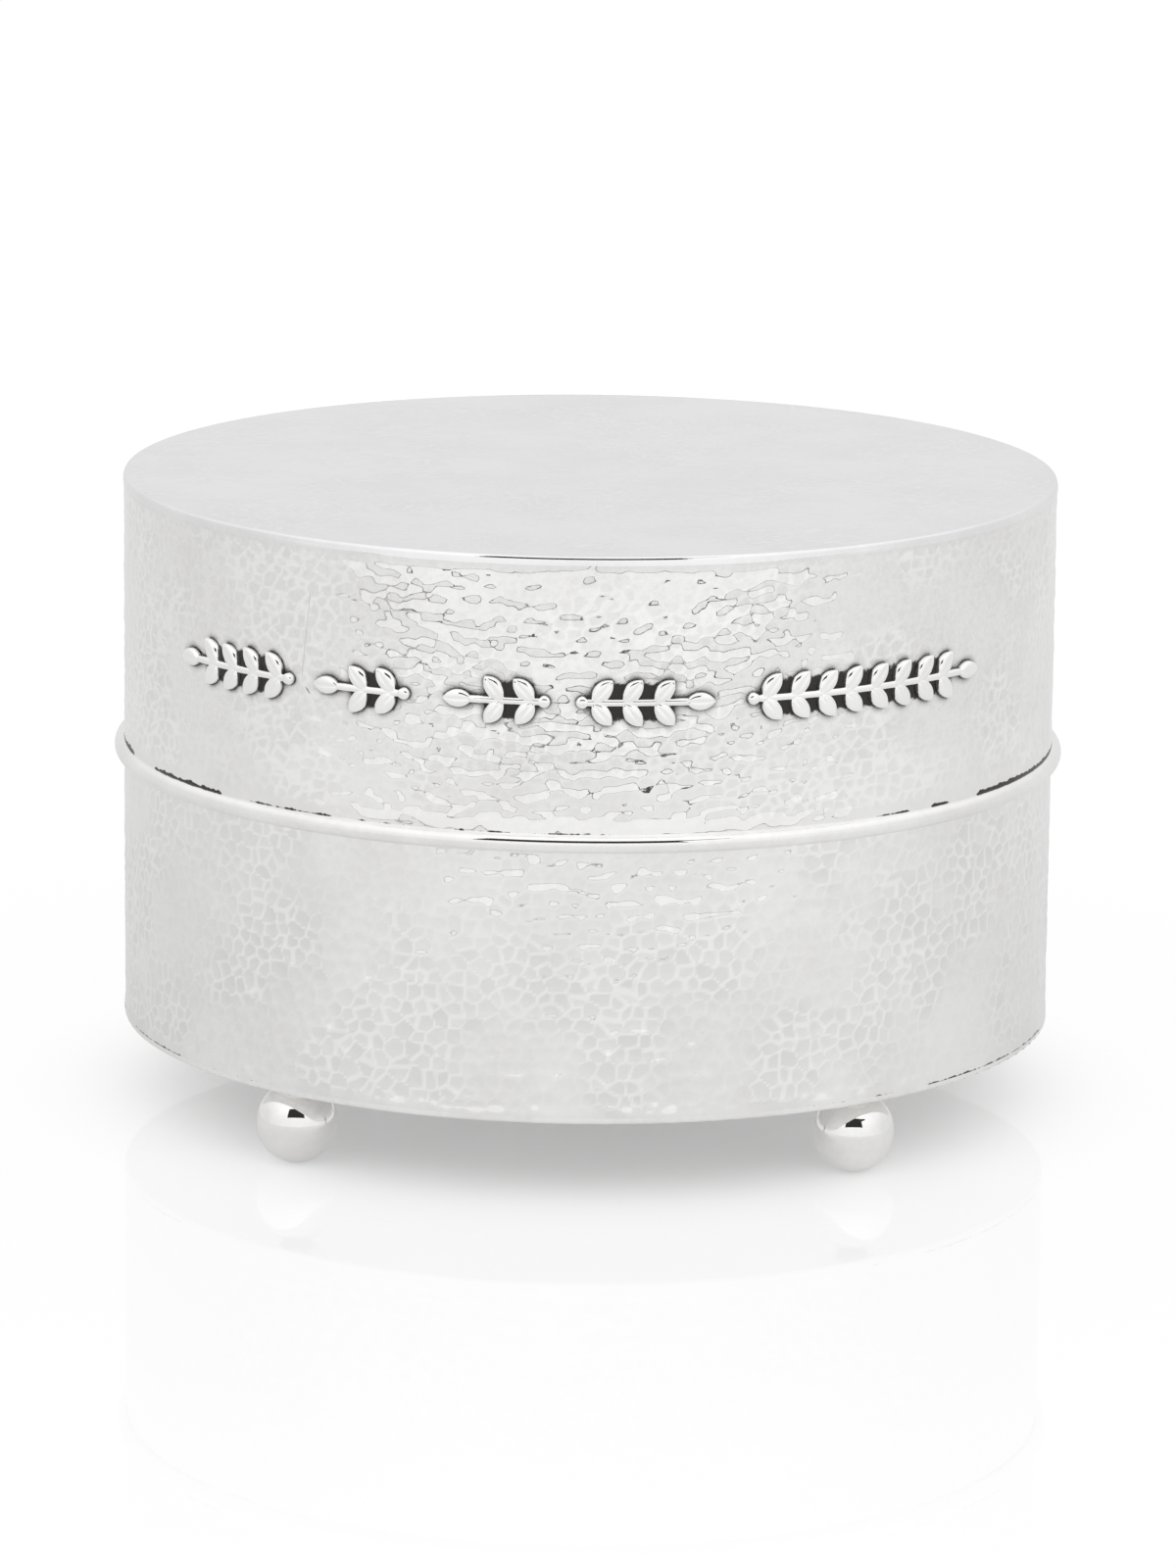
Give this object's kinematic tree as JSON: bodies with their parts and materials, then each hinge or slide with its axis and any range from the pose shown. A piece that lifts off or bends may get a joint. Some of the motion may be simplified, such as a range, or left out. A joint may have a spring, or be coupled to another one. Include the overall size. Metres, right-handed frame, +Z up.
{
  "type": "etrog box",
  "caption": "Round hammered silver box for an etrog, with ball feet, a bead round the seam, leaf sprigs on the front and a flat lift-off lid.",
  "frame": {"origin": "on the resting surface, under the middle of the round box", "axes": "+Z up along the box's axis and the lid's lift, -Y towards the front with the leaf sprigs, +X to the right seen from the front"},
  "size_m": [0.1428, 0.1428, 0.0944],
  "materials": {
    "hammered_silver": "hammered and polished silver",
    "plain_silver": "satin silver",
    "polished_silver": "polished silver"
  },
  "bodies": {
    "base": {"base_wall": "hammered_silver", "base_floor": "plain_silver", "seam_bead": "polished_silver", "locating_rim": "plain_silver", "foot_front_left": "polished_silver", "foot_front_right": "polished_silver", "foot_back_left": "polished_silver", "foot_back_right": "polished_silver"},
    "lid": {"lid_wall": "hammered_silver", "lid_top": "hammered_silver", "leaf_sprig_1": "polished_silver", "leaf_sprig_2": "polished_silver", "leaf_sprig_3": "polished_silver", "leaf_sprig_4": "polished_silver", "leaf_sprig_5": "polished_silver"}
  },
  "joints": [
    {"name": "lid_lift", "type": "slide", "parent": "base", "child": "lid", "axis": [0, 0, 1], "range_m": [0, 0.07]}
  ]
}
